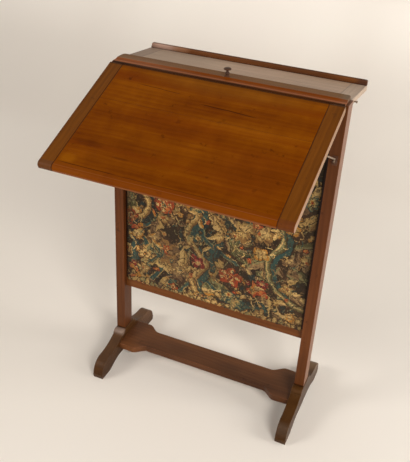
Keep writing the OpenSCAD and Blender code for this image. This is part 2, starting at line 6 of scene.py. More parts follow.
import itertools
import math

import bpy
import numpy as np
from mathutils import Matrix, Vector


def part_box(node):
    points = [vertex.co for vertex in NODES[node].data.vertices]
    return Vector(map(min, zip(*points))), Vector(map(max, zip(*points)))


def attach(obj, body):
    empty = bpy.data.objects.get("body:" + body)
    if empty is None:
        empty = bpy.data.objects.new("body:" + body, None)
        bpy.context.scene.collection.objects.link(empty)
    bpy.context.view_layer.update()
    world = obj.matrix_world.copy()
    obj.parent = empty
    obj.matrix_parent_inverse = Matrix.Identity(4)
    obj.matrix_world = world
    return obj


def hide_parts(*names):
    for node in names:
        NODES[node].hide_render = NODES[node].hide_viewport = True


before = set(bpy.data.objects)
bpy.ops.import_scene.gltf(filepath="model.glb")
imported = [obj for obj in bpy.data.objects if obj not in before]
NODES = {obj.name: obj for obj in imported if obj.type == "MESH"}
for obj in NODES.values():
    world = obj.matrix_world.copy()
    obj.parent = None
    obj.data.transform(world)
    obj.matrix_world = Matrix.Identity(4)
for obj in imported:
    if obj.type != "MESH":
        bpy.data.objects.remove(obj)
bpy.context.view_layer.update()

X, Y, Z = Vector((1, 0, 0)), Vector((0, 1, 0)), Vector((0, 0, 1))
# Middle plane of the posts, and the point from which the grain of the standing parts is measured
POST_Y = 0.079958
MIDDLE = (0, POST_Y, 0.5)
# The slope's hinge line, and the directions down the slope and down the shelf
HINGE = Vector((0.0, POST_Y - 0.025, 0.9166))
SLOPE_ANGLE, SHELF_ANGLE = math.radians(23.4), math.radians(5.5)
SLOPE_U = Vector((0.0, -math.cos(SLOPE_ANGLE), -math.sin(SLOPE_ANGLE)))
SHELF_U = Vector((0.0, math.cos(SHELF_ANGLE), -math.sin(SHELF_ANGLE)))
# Distance from the middle to the joints of board and cleats, and to the slope's side
CLEAT_IN, SHELF_CLEAT_IN, SLOPE_HALF = 0.26, 0.2605, 0.296

# Colours


def to_linear(colour):
    """Screen values from 0 to 255 as linear light."""
    v = np.asarray(colour) / 255
    return np.where(v <= 0.04045, v / 12.92, ((v + 0.055) / 1.055) ** 2.4)


def lin(r, g, b):
    """A colour written as it looks on screen, for a socket."""
    return (*(float(v) for v in to_linear((r, g, b))), 1.0)


def toned(colour, amount):
    """A socket's colour, darker or lighter."""
    return (*(min(1.0, v * amount) for v in colour[:3]), 1.0)


# Material nodes

# Height in metres of what the bump maps show
RELIEF = 0.0004


class Tree:
    """The nodes of a material or of the world, made one call at a time."""

    def __init__(self, owner, shader="Principled BSDF"):
        owner.use_nodes = True
        self.owner, self.nt = owner, owner.node_tree
        self.shader = self.nt.nodes[shader]

    def node(self, kind, links=None, **props):
        n = self.nt.nodes.new("ShaderNode" + kind)
        for k, v in props.items():
            setattr(n, k, v)
        for k, v in (links or {}).items():
            self.put(n.inputs[k], v)
        return n

    def put(self, socket, value):
        """Links an output to the socket, or writes a constant on it."""
        if isinstance(value, bpy.types.NodeSocket):
            self.nt.links.new(value, socket)
        else:
            socket.default_value = value

    def shade(self, values):
        """Fills the shader's own sockets."""
        for name, value in values.items():
            self.put(self.shader.inputs[name], value)

    def here(self):
        """Where the surface is, in the frame's metres."""
        return self.node("TexCoord").outputs["Object"]

    def xyz(self, vector):
        """A vector's three outputs, by the names X, Y and Z or in that order."""
        return self.node("SeparateXYZ", {0: vector}).outputs

    def math(self, op, a, b=0.0, c=0.0):
        return self.node("Math", {0: a, 1: b, 2: c}, operation=op).outputs[0]

    def add(self, a, b):
        return self.math("ADD", a, b)

    def minus(self, a, b):
        return self.math("SUBTRACT", a, b)

    def times(self, a, b, plus=None):
        """The product, with a third value added if there is one."""
        if plus is None:
            return self.math("MULTIPLY", a, b)
        return self.math("MULTIPLY_ADD", a, b, plus)

    def gap(self, a, b):
        """How far apart two values are."""
        return self.math("ABSOLUTE", self.minus(a, b))

    def vec(self, op, a, b=(0, 0, 0)):
        n = self.node("VectorMath", {0: a, 1: b}, operation=op)
        return n.outputs["Value" if op in ("DOT_PRODUCT", "LENGTH") else "Vector"]

    def mix(self, fac, a, b, blend="MIX"):
        """Mixed colours: 6 and 7 are the node's colour inputs, and 2 is its colour output."""
        n = self.node("Mix", {0: fac, 6: a, 7: b}, data_type="RGBA", blend_type=blend)
        return n.outputs[2]

    def step(self, value, low, high, out_low=0.0, out_high=1.0):
        """Smoothly from one output to the other as the value goes from low to high."""
        return self.node(
            "MapRange",
            {"Value": value, "From Min": low, "From Max": high, "To Min": out_low,
             "To Max": out_high},
            interpolation_type="SMOOTHSTEP",
        ).outputs["Result"]

    def window(self, value, rise, fall):
        """1 between two soft rims, each given as its outer and its inner end."""
        return self.times(self.step(value, *rise), self.step(value, *fall))

    def noise(self, where, scale, detail=3.0, rough=0.55):
        """Noise at so many lumps to the metre, or at so many along each axis."""
        if isinstance(scale, tuple):
            where, scale = self.vec("MULTIPLY", where, scale), 1.0
        return self.node(
            "TexNoise", {"Vector": where, "Scale": scale, "Detail": detail, "Roughness": rough}
        ).outputs["Fac"]

    def ramp(self, value, stops):
        """The value as a colour, between stops that give a value and its colour."""
        n = self.node("ValToRGB", {"Fac": value})
        e = n.color_ramp.elements
        while len(e) < len(stops):
            e.new(0.5)
        for el, (pos, col) in zip(e, stops):
            el.position, el.color = pos, col
        return n.outputs["Color"]

    def axes(self, origin, along, across):
        """Coordinates in metres: x along the grain, y across the board, z out of it."""
        off = self.vec("SUBTRACT", self.here(), tuple(origin))
        dots = (
            self.vec("DOT_PRODUCT", off, tuple(d)) for d in (along, across, along.cross(across))
        )
        return self.node("CombineXYZ", dict(enumerate(dots))).outputs[0]

    def edge(self, radius=0.002):
        """How near a sharp edge is, from 0 to 1, and the normal rounded over it."""
        rounded = self.node("Bevel", {"Radius": radius}, samples=4).outputs[0]
        normal = self.node("NewGeometry").outputs["Normal"]
        return self.step(self.vec("DOT_PRODUCT", rounded, normal), 0.985, 0.72), rounded

    def bump(self, height, strength, normal=None):
        n = self.node("Bump", {"Height": height, "Strength": strength, "Distance": RELIEF})
        if normal is not None:
            self.put(n.inputs["Normal"], normal)
        return n.outputs[0]

    def seen(self):
        """1 for what the camera sees, straight, mirrored or through glass."""
        rays = self.node("LightPath").outputs
        by_surface = self.add(rays["Is Camera Ray"], rays["Is Glossy Ray"])
        return self.add(by_surface, rays["Is Transmission Ray"])


# Wood

# colours of worn edges; the pale one, on the slope's right cleat, is also a painted highlight
EDGE, WORN_EDGE_HIGHLIGHT, FOOT_EDGE = lin(152, 92, 60), lin(204, 160, 132), lin(146, 114, 82)
# a pale dusty film on faces turned up; on the shelf it is also a painted reflection of the pale
# backdrop
DUST_AND_SHEEN = lin(196, 184, 172)
# The grain's middle tone, how far a crack runs out at its ends, and the wear's space round a seam
MID_TONE = 0.52
CRACK_END = 0.03
SEAM_CLEAR = (0.004, 0.006)


def wood(
    name, along, across, tones, origin=MIDDLE, seed=0.0, rough=0.38, shine=0.15,
    figure=0.5, calm=0.65, ripple=0.0, streak=None, dirt=0.5, dust=0.0, edge_col=EDGE,
    clouds=(), bands=(), seams=(), cracks=(),
):
    """Waxed old wood: growth streaks along the grain, fibres, pores, blotches, edge wear, and the
    painted highlights, reflections and shade that callers give in clouds, bands and edge colour.

    Places are in the board's own metres, X along the grain, Y across it and Z out of it.
    tones: the grain's dark, middle and light colour
    clouds: X, Y, half length, half width, colour, amount
    bands: axis, start, end, soft rim, colour, amount, and for some the Z above which they lie
    seams: axis, place, half width
    cracks: start, end, Y at X = 0, rise, half width
    """
    t = Tree(bpy.data.materials.new(name))
    dark, mid, light = tones
    raw = t.axes(origin, along, across)
    place = t.xyz(raw)
    g = t.vec("ADD", raw, (seed * 1.37, seed * 0.73, seed * 0.41))
    # slow bending of the grain
    bend = t.noise(g, (1.1, 5.0, 5.0), 2.0)
    bent = t.vec("ADD", g, t.vec("MULTIPLY", bend, (0.0, 0.035, 0.02)))
    # broad streaks, growth rings, fibres, blotches and shimmer across the grain
    broad = t.noise(bent, (0.9, 17.0, 12.0), 4.0, 0.6)
    ring = t.node(
        "TexWave",
        {"Vector": t.vec("MULTIPLY", bent, (0.25, 1.0, 0.6)), "Scale": 24.0,
         "Distortion": 5.0, "Detail": 3.0, "Detail Scale": 1.6},
        wave_type="BANDS", bands_direction="Y", wave_profile="SIN",
    ).outputs["Fac"]
    fine = t.noise(bent, (6.0, 260.0, 260.0), 3.0, 0.65)
    patch = t.noise(g, (3.0, 6.0, 6.0))
    cross = t.noise(g, (30.0, 19.0, 13.0))
    v = t.times(broad, 0.62, 0.04)
    v = t.times(ring, 0.16 * figure, v)
    v = t.times(fine, 0.22, v)
    v = t.times(t.minus(patch, 0.5), 0.42, v)
    v = t.times(t.minus(cross, 0.5), ripple, v)
    v = t.times(t.minus(v, MID_TONE), calm, MID_TONE)
    col = t.ramp(v, [(0.33, dark), (MID_TONE, mid), (0.72, light)])
    if streak is not None:
        band = t.noise(bent, (1.4, 26.0, 9.0), 2.0)
        col = t.mix(t.step(band, 0.5, 0.68, 0.0, 0.5), col, streak)
    # pores: short dark dashes along the grain
    pores = t.step(t.noise(g, (46.0, 900.0, 900.0), 1.0), 0.6, 0.7)
    col = t.mix(t.times(pores, 0.3), col, dark)
    # worn spots and old stains
    spot = t.noise(g, 38.0, 3.0, 0.6)
    col = t.mix(t.step(spot, 0.63, 0.74, 0.0, dirt), col, toned(dark, 0.45))
    # soft clouds of another tone, broken up by the grain; some are painted shade, highlight and
    # reflection
    grain = t.times(v, 1.5, 0.22)
    for x, y, rx, ry, tone, amount in clouds:
        off = t.vec("MULTIPLY", t.vec("SUBTRACT", raw, (x, y, 0)), (1 / rx, 1 / ry, 0))
        near = t.step(t.vec("LENGTH", off), 1.0, 0.25)
        near = t.times(near, t.step(broad, 0.25, 0.65, 0.5, 1.0))
        col = t.mix(t.times(near, amount), col, t.mix(1.0, tone, grain, "MULTIPLY"))
    # bands along an edge or a face: wear, and also painted highlight, reflection and shade
    for axis, start, end, rim, tone, amount, *above in bands:
        strip = t.window(place[axis], (start, start + rim), (end, end - rim))
        for low in above:
            strip = t.times(strip, t.step(place["Z"], low, low + 0.0008))
        strip = t.times(strip, t.step(patch, 0.2, 0.6, 0.6, 1.0))
        col = t.mix(t.times(strip, amount), col, tone)
    height = t.times(pores, -0.5)
    worn, rounded = t.edge()
    # seams are sunk, and the wear of the edges keeps clear of them
    joints = 0.0
    for axis, at, half in seams:
        off = t.gap(place[axis], at)
        seam = t.step(off, half, half * 0.3)
        joints = t.math("MAXIMUM", joints, seam)
        worn = t.times(worn, t.step(off, *SEAM_CLEAR))
        height = t.minus(height, seam)
    for x0, x1, at, rise, half in cracks:
        path = t.times(t.noise(g, (14.0, 1.0, 1.0)), 0.006, at - 0.003)
        path = t.times(place["X"], rise, path)
        ends = t.window(place["X"], (x0, x0 + CRACK_END), (x1, x1 - CRACK_END))
        crack = t.times(t.step(t.gap(place["Y"], path), half, half * 0.2), ends)
        col = t.mix(t.times(crack, 0.8), col, toned(dark, 0.22))
        height = t.minus(height, crack)
    # worn edges take the edge colour, which on some boards is also a painted highlight
    col = t.mix(t.times(worn, t.step(patch, 0.38, 0.6, 0.25, 0.8)), col, edge_col)
    if seams:
        grime = t.times(joints, t.step(patch, 0.25, 0.55, 0.55, 0.85))
        col = t.mix(grime, col, toned(dark, 0.3))
    # faces turned up get a pale dusty film, which is partly a painted reflection
    if dust:
        up = t.xyz(t.node("NewGeometry").outputs["Normal"])["Z"]
        film = t.times(t.step(up, 0.6, 0.95), t.step(patch, 0.2, 0.7, 0.55, 1.0))
        col = t.mix(t.times(film, dust), col, DUST_AND_SHEEN)
    gloss = t.times(fine, 0.16, rough - 0.08)
    gloss = t.times(t.minus(patch, 0.5), 0.25, gloss)
    t.shade({
        "Base Color": col, "Roughness": gloss, "Specular IOR Level": shine,
        "Normal": t.bump(t.times(fine, 0.5, height), 0.5, rounded),
    })
    return t.owner


def dress(material, *names):
    """Gives CAD nodes their material."""
    for name in names:
        slots = NODES[name].data.materials
        slots.clear()
        slots.append(material)


grains = itertools.count()


def dress_wood(names, along, across, tones, **looks):
    """Dresses nodes of the standing parts in a wood with a grain of its own."""
    seed = 1.7 * next(grains) + 0.3
    dress(wood("wood_" + names[0], along, across, tones, seed=seed, **looks), *names)


POST = (lin(64, 30, 10), lin(97, 52, 22), lin(122, 71, 34))
SHADE = (lin(28, 13, 7), lin(46, 23, 12), lin(66, 36, 20))
SLOPE = (lin(96, 41, 1), lin(120, 60, 2), lin(143, 79, 6))
CLEAT = (lin(78, 40, 4), lin(106, 58, 9), lin(126, 72, 16))
# Where the posts enter the feet, along the grain
POST_FOOT = ("X", -0.4065, 0.0034)

# Feet, stretcher and posts

dress_wood(
    ["left_foot"], Y, Z, (lin(50, 28, 12), lin(80, 50, 24), lin(106, 72, 42)),
    dust=0.03, edge_col=FOOT_EDGE, shine=0.1,
    # pale patch on the top in front of the post: wear with a painted highlight
    clouds=[(-0.034, -0.408, 0.016, 0.022, lin(196, 172, 156), 0.45),
            (0.13, -0.44, 0.07, 0.06, lin(112, 78, 54), 0.5)],
)
dress_wood(
    ["right_foot"], Y, Z, (lin(44, 24, 8), lin(70, 42, 16), lin(94, 62, 32)),
    edge_col=FOOT_EDGE, shine=0.1,
    # paler outer side face: painted reflection
    bands=[("Z", 0.3042, 0.31, 0.0004, lin(178, 150, 112), 0.85)],
    clouds=[(-0.155, -0.456, 0.03, 0.03, lin(84, 66, 52), 0.6),
            (0.14, -0.43, 0.06, 0.06, lin(150, 124, 98), 0.5)],
)
dress_wood(
    ["stretcher"], X, Y, (lin(66, 37, 20), lin(101, 62, 36), lin(128, 82, 50)),
    figure=0.3, calm=0.75,
    clouds=[(-0.24, -0.05, 0.06, 0.06, lin(136, 82, 42), 0.3),
            (-0.27, 0.06, 0.05, 0.05, lin(70, 44, 28), 0.6),
            (-0.1, 0.0, 0.07, 0.03, lin(72, 46, 30), 0.5),
            (0.07, -0.01, 0.06, 0.03, lin(76, 48, 30), 0.55),
            (0.25, 0.03, 0.07, 0.07, lin(74, 50, 34), 0.6)],
)
dress_wood(
    ["left_post"], Z, X, POST, seams=[POST_FOOT],
    clouds=[(-0.33, -0.286, 0.14, 0.06, lin(80, 44, 22), 0.6)],
)
dress_wood(
    ["right_post"], Z, X, POST, seams=[POST_FOOT],
    # first cloud: darker at the top, painted shadow of the slope
    clouds=[(0.36, 0.286, 0.26, 0.06, lin(84, 46, 18), 0.7),
            (-0.36, 0.286, 0.12, 0.06, lin(76, 42, 18), 0.6)],
    # paler outer side face: painted reflection of the lamp on the right
    bands=[("Y", 0.2994, 0.31, 0.0004, lin(150, 108, 84), 0.6)],
)

# Screen frame and hidden rails

# stiles near black: painted shade in the gaps beside the posts
dress_wood(["screen_left_stile"], Z, X, SHADE)
dress_wood(["screen_right_stile"], Z, X, SHADE)
dress_wood(
    ["screen_bottom_rail"], X, Z, (lin(78, 40, 14), lin(112, 64, 28), lin(134, 84, 42))
)
dress_wood(["screen_top_rail", "front_top_rail", "back_top_rail"], X, Z, POST)
dress_wood(["shelf_bearer"], X, Z, POST)
dress_wood(["shelf_brackets"], Y, Z, POST)

# Cap rail and knob

dress_wood(
    ["cap_rail"], X, Y, (lin(76, 34, 4), lin(122, 62, 8), lin(146, 82, 18)),
    edge_col=lin(176, 112, 78), shine=0.08, rough=0.5,
    # grey-brown field: dirt with a painted reflection of the pale backdrop; darker back edge:
    # painted shade
    bands=[("Y", -0.007, 0.06, 0.003, lin(108, 84, 54), 0.7),
           ("Y", 0.025, 0.04, 0.002, lin(70, 62, 48), 0.75),
           # grey right end: painted highlight
           ("X", 0.268, 0.31, 0.02, lin(112, 98, 82), 0.6),
           ("Y", -0.019, -0.006, 0.002, lin(122, 54, 2), 0.7),
           # dark front of the nose: painted shade; pale line on the nose's top: painted highlight
           ("Y", -0.04, -0.026, 0.001, lin(46, 26, 14), 0.95),
           ("Y", -0.0282, -0.0185, 0.0012, lin(160, 92, 50), 0.75, 0.4322)],
    # paler towards the left end of the nose: painted highlight
    clouds=[(-0.27, -0.02, 0.22, 0.05, lin(176, 134, 106), 0.45)],
)
dress_wood(["lift_knob"], Z, X, (lin(38, 22, 14), lin(66, 42, 28), lin(96, 66, 46)))

# Shelf

# the shelf's pale, greyish tones and its dusty film are partly a painted reflection of the pale
# backdrop
dress_wood(
    ["shelf_board"], X, SHELF_U, (lin(112, 80, 52), lin(174, 136, 102), lin(204, 166, 130)),
    dust=0.3, shine=0.35, rough=0.48, calm=0.9,
    seams=[("X", -SHELF_CLEAT_IN, 0.001), ("X", SHELF_CLEAT_IN, 0.001)],
    # paler in the middle and to the right, darker at the left: painted reflection
    clouds=[(-0.2, 0.1, 0.17, 0.2, lin(124, 98, 72), 0.5),
            (0.04, 0.1, 0.14, 0.1, lin(176, 138, 112), 0.4),
            (0.2, 0.06, 0.12, 0.08, lin(168, 136, 112), 0.4)],
)
dress_wood(
    ["shelf_left_cleat"], SHELF_U, X, (lin(86, 60, 40), lin(130, 96, 68), lin(154, 118, 88)),
    dust=0.25, shine=0.35, rough=0.48, seams=[("Y", -SHELF_CLEAT_IN, 0.002)],
)
dress_wood(
    ["shelf_right_cleat"], SHELF_U, X, (lin(120, 92, 70), lin(174, 142, 114), lin(202, 170, 142)),
    dust=0.35, shine=0.35, rough=0.48, edge_col=lin(196, 176, 156), calm=0.8,
    seams=[("Y", SHELF_CLEAT_IN, 0.0024)],
    # pale right side face: painted reflection
    bands=[("Y", 0.2958, 0.31, 0.0004, lin(176, 154, 134), 0.85)],
)
dress_wood(
    ["shelf_gallery"], X, SHELF_U, (lin(60, 28, 8), lin(104, 58, 22), lin(130, 80, 36)),
    edge_col=lin(70, 40, 26), seams=[("Z", 0.4286, 0.0022)],
    bands=[("Z", 0.4398, 0.45, 0.0008, lin(62, 38, 26), 0.6),
           ("X", 0.262, 0.31, 0.02, lin(66, 38, 26), 0.8)],
    clouds=[(-0.262, 0.155, 0.058, 0.04, lin(204, 168, 148), 0.85),
            (-0.21, 0.155, 0.035, 0.04, lin(168, 120, 86), 0.7),
            (0.13, 0.155, 0.12, 0.03, lin(78, 44, 20), 0.6)],
)

# Writing slope

dress(wood(
    "wood_writing_board", X, SLOPE_U, SLOPE, origin=HINGE, seed=4.1, rough=0.42, shine=0.03,
    figure=0.3, calm=0.9, ripple=0.26, streak=lin(108, 44, 2), dirt=0.55,
    edge_col=lin(162, 88, 54),
    seams=[("X", -CLEAT_IN, 0.0014), ("X", CLEAT_IN, 0.0014), ("Y", 0.127, 0.0005)],
    cracks=[(-0.03, 0.13, 0.085, 0.05, 0.0019), (-0.2, -0.06, 0.07, 0.06, 0.0012),
            (-0.262, -0.1, 0.3372, 0.004, 0.0012), (-0.12, 0.22, 0.3385, 0.0, 0.0007)],
    # darker along the hinge edge, and near black in the first 8 mm: painted shadow under the cap's
    # nose
    bands=[("Y", 0.0, 0.018, 0.012, lin(92, 50, 8), 0.5),
           ("Y", -0.1, 0.0085, 0.002, lin(40, 24, 12), 0.8),
           ("Y", 0.3378, 0.4, 0.002, lin(116, 54, 8), 0.55),
           # pale lines along the nosing's edges: painted highlights
           ("Y", 0.3472, 0.3492, 0.0008, lin(150, 88, 54), 0.5),
           ("Y", 0.3535, 0.4, 0.0008, lin(150, 98, 62), 0.6, -0.0085)],
    clouds=[(-0.16, 0.075, 0.16, 0.028, lin(150, 82, 6), 0.5),
            (0.1, 0.13, 0.16, 0.03, lin(136, 74, 8), 0.45),
            (0.02, 0.02, 0.3, 0.05, lin(124, 74, 18), 0.5),
            (-0.05, 0.165, 0.22, 0.045, lin(110, 46, 2), 0.5),
            (-0.16, 0.3, 0.13, 0.05, lin(132, 68, 4), 0.5),
            (-0.02, 0.235, 0.2, 0.03, lin(128, 66, 4), 0.45),
            (0.16, 0.26, 0.14, 0.1, lin(102, 44, 4), 0.65),
            (-0.21, 0.268, 0.05, 0.014, lin(80, 34, 4), 0.55),
            (-0.235, 0.322, 0.03, 0.018, lin(158, 92, 8), 0.6),
            (-0.12, 0.292, 0.03, 0.005, lin(80, 34, 4), 0.5)],
), "writing_board")
for side, name, edge_col, nosing in (
    (-1, "writing_left_cleat", EDGE, lin(88, 54, 34)),
    (1, "writing_right_cleat", WORN_EDGE_HIGHLIGHT, lin(94, 46, 24)),
):
    dress(wood(
        "wood_" + name, SLOPE_U, X, CLEAT, origin=HINGE, seed=7.7 + side, rough=0.42, shine=0.08,
        calm=0.8, edge_col=edge_col, seams=[("Y", side * CLEAT_IN, 0.0021)],
        bands=[("X", 0.341, 0.4, 0.002, nosing, 0.6),
               # near black at the hinge edge: painted shadow under the cap's nose; pale right side
               # face: painted reflection
               ("X", -0.1, 0.0085, 0.002, lin(40, 24, 12), 0.8),
               ("Y", SLOPE_HALF - 0.0008, SLOPE_HALF + 0.01, 0.0006, lin(176, 142, 112), 0.7)],
    ), name)

# Metal


def metal(name, base, spot, rough, metallic=0.85):
    """Dull old metal with patches of rust or tarnish."""
    t = Tree(bpy.data.materials.new(name))
    here = t.here()
    big = t.noise(here, 90.0, 4.0, 0.65)
    small = t.noise(here, 900.0, 2.0)
    worn, rounded = t.edge(0.0008)
    col = t.mix(t.step(big, 0.42, 0.66), base, spot)
    t.shade({
        "Base Color": t.mix(t.times(worn, 0.5), col, toned(base, 2.2)),
        "Metallic": metallic, "Roughness": t.times(big, 0.3, rough),
        "Normal": t.bump(t.add(big, small), 0.4, rounded),
    })
    return t.owner


dress(metal("iron", lin(96, 84, 74), lin(84, 58, 40), 0.42),
      "hinge_pins", "hinge_rail_screws", "hinge_slope_screws", "stay_pins")
dress(metal("rusty_iron", lin(84, 50, 30), lin(64, 38, 22), 0.8, metallic=0.0),
      "stay_plates", "stay_plate_screws")
dress(metal("worn_iron", lin(168, 150, 130), lin(110, 86, 66), 0.38),
      "left_stay", "right_stay", "shelf_pins")
dress(metal("brass", lin(120, 96, 58), lin(70, 54, 34), 0.35),
      "hinge_fixed_leaves", "hinge_slope_leaves")

# Needlework design, in millimetres


def lumps(rng, x, y, width, height, size):
    """Smooth noise from 0 to 1 over a sheet, with lumps of the given size."""
    g = rng.random((int(height / size) + 3, int(width / size) + 3))
    fx, fy = x / size, y / size
    ix, iy = fx.astype(int), fy.astype(int)
    tx, ty = fx - ix, fy - iy
    tx, ty = tx * tx * (3 - 2 * tx), ty * ty * (3 - 2 * ty)
    a = g[iy, ix] * (1 - tx) + g[iy, ix + 1] * tx
    b = g[iy + 1, ix] * (1 - tx) + g[iy + 1, ix + 1] * tx
    return a * (1 - ty) + b * ty


class Canvas:
    """A sheet with one colour per stitch, on which leaves, flowers and stems are drawn."""

    def __init__(self, width, height, pitch, seed):
        self.rng = np.random.default_rng(seed)
        self.w, self.h = width, height
        self.nx, self.ny = int(round(width / pitch)), int(round(height / pitch))
        x = (np.arange(self.nx) + 0.5) * width / self.nx
        y = (np.arange(self.ny) + 0.5) * height / self.ny
        self.px, self.py = np.meshgrid(x, y)
        # uneven hand: the drawing wanders a little
        self.x = self.px + 14 * (self.field(34) - 0.5) + 5 * (self.field(12) - 0.5)
        self.y = self.py + 14 * (self.field(34) - 0.5) + 5 * (self.field(12) - 0.5)
        self.img = np.zeros((self.ny, self.nx, 3))

    def field(self, size, detail=2):
        """Smooth noise from 0 to 1 in so many sizes, each half the one before."""
        total, amp, out = 0.0, 1.0, 0.0
        for _ in range(detail):
            out = out + amp * lumps(self.rng, self.px, self.py, self.w, self.h, size)
            total += amp
            amp *= 0.5
            size *= 0.5
        return out / total

    def paint(self, mask, colour):
        self.img[mask] = colour

    def leaf(self, cx, cy, length, width, angle, bend, tones, lobes=0, vein=None):
        """A curved leaf from (cx, cy), shaded from its dark side to its light side."""
        c, s = math.cos(math.radians(angle)), math.sin(math.radians(angle))
        a = (self.x - cx) * c + (self.y - cy) * s
        b = -(self.x - cx) * s + (self.y - cy) * c
        f = np.clip(a / length, 0, 1)
        b = b - bend * length * f * f
        half = width / 2 * np.sin(math.pi * f ** 0.8) ** 0.75
        if lobes:
            half = half * (0.72 + 0.28 * np.abs(np.sin(math.pi * lobes * f)))
        inside = (a > 0) & (a < length) & (np.abs(b) < half)
        r = b / np.maximum(half, 1e-6)
        for k, tone in enumerate(tones):
            low = -1 + 2 * k / len(tones)
            self.paint(inside & (r >= low), tone)
        if vein is not None:
            self.paint(inside & (np.abs(b) < 1.3) & (f < 0.86), vein)

    def flower(self, cx, cy, r, petals, tones, heart, turn, squash=1.0):
        """Rounded petals in rings of tones round a heart of two."""
        dx, dy = self.x - cx, (self.y - cy) / squash
        d, th = np.hypot(dx, dy), np.arctan2(dy, dx) + turn
        edge = r * (0.68 + 0.32 * np.abs(np.cos(th * petals / 2)))
        for k, tone in enumerate(tones):
            self.paint(d < edge * (1 - k / (len(tones) + 0.6)), tone)
        gap = np.abs(np.sin(th * petals / 2)) > 0.97
        self.paint(gap & (d < edge) & (d > 0.3 * r), tuple(np.array(tones[0]) * 0.5))
        self.paint(d < 0.24 * r, heart[0])
        self.paint(d < 0.12 * r, heart[1])

    def tuft(self, cx, cy, r, tones, rim):
        """A ragged bunch of leaves or petals, lighter towards its upper left."""
        dx, dy = self.x - cx, self.y - cy
        th = np.arctan2(dy, dx)
        edge = np.full(th.shape, 1.0)
        for k, amp in ((2, 0.22), (3, 0.2), (5, 0.17), (8, 0.13), (13, 0.09)):
            edge += amp * self.rng.uniform(0.4, 1) * np.sin(k * th + self.rng.uniform(0, 6.3))
        edge *= r
        d = np.hypot(dx, dy)
        self.paint(d < edge + 2.6, rim)
        self.paint(d < edge, tones[0])
        inner = np.hypot(dx + 0.16 * r, dy - 0.2 * r)
        wave = 0.12 * r * np.sin(d / r * 9 + 3 * th)
        for k, tone in enumerate(tones[1:]):
            self.paint((d < edge) & (inner + wave < edge * (0.78 - 0.34 * k)), tone)

    def stem(self, points, width, tone, edge=None):
        """A smooth stem through the points."""
        p = np.array(points, float)
        t = np.linspace(0, len(p) - 1, 26 * len(p))
        i = np.clip(t.astype(int), 0, len(p) - 2)
        f = (t - i)[:, None]
        p0, p1, p2, p3 = p[np.maximum(i - 1, 0)], p[i], p[i + 1], p[np.minimum(i + 2, len(p) - 1)]
        q = 0.5 * (2 * p1 + (p2 - p0) * f + (2 * p0 - 5 * p1 + 4 * p2 - p3) * f ** 2
                   + (3 * p1 - p0 - 3 * p2 + p3) * f ** 3)
        d = np.full(self.x.shape, np.inf)
        for x, y in q:
            d = np.minimum(d, np.hypot(self.x - x, self.y - y))
        if edge is not None:
            self.paint(d < width / 2 + 2.4, edge)
        self.paint(d < width / 2, tone)

    def branch(self, points, width, tones, shade):
        """A broad limb in several tones with a band of shade along one side."""
        p = np.array(points, float)
        self.stem(p + (0.95 * width, -0.25 * width), width * 1.05, shade, GROUND)
        self.stem(p, width, tones[0], BARK)
        self.stem(p + (-0.1 * width, 0.1 * width), width * 0.6, tones[1])
        self.stem(p + (-0.2 * width, 0.15 * width), width * 0.2, tones[2])

    def thread(self, x, y, length, angle, bend, tone):
        """One line of stitches."""
        s = np.linspace(0, 1, int(length) + 2)
        a = math.radians(angle) + bend * s
        u = ((x + np.cumsum(np.cos(a))) / self.w * self.nx).astype(int)
        v = ((y + np.cumsum(np.sin(a))) / self.h * self.ny).astype(int)
        ok = (u >= 0) & (u < self.nx) & (v >= 0) & (v < self.ny)
        self.img[v[ok], u[ok]] = tone


# Yarns, and the sets that leaves and flowers are worked in
CREAM, PALE, TAN, OCHRE = (216, 188, 128), (186, 158, 100), (140, 106, 62), (184, 128, 50)
SAGE, MOSS, TEAL, DEEP = (134, 134, 96), (80, 80, 50), (38, 76, 80), (22, 42, 48)
CORAL, APRICOT, CRIMSON, PINK = (166, 62, 30), (196, 112, 56), (128, 22, 30), (186, 96, 84)
TAUPE, DOVE, GROUND, BARK = (110, 84, 60), (148, 122, 88), (30, 19, 15), (58, 36, 26)
LEAF_TONES = [
    (TAN, PALE, CREAM), (OCHRE, PALE, CREAM), (TAN, OCHRE, CREAM), (TAUPE, DOVE, PALE),
    (TAN, PALE, PALE), (DEEP, TEAL, TEAL), (TEAL, SAGE, PALE), (MOSS, SAGE, DOVE),
    (TAUPE, DOVE, CREAM), (BARK, TAUPE, DOVE), (CORAL, APRICOT, OCHRE), (TAN, PALE, CREAM),
]
FLOWER_TONES = [
    ((CRIMSON, CRIMSON, PINK), (CREAM, OCHRE)), ((CORAL, APRICOT, CREAM), (CRIMSON, OCHRE)),
    ((TAN, PALE, CREAM), (CORAL, OCHRE)), ((OCHRE, PALE, CREAM), (TAN, CRIMSON)),
    ((TEAL, SAGE, CREAM), (OCHRE, CRIMSON)), ((TAN, CREAM, PALE), (OCHRE, BARK)),
]
BORDER_TONES = ((TAN, PALE, CREAM), (OCHRE, CREAM, PALE), (TAN, SAGE, PALE))
RIMS = (GROUND, BARK, CREAM, PALE)
THREADS = (CREAM, GROUND, BARK, SAGE, PALE, GROUND, TAN, TEAL)
# Width of the painted shade along each stile
STILE_SHADE = 28


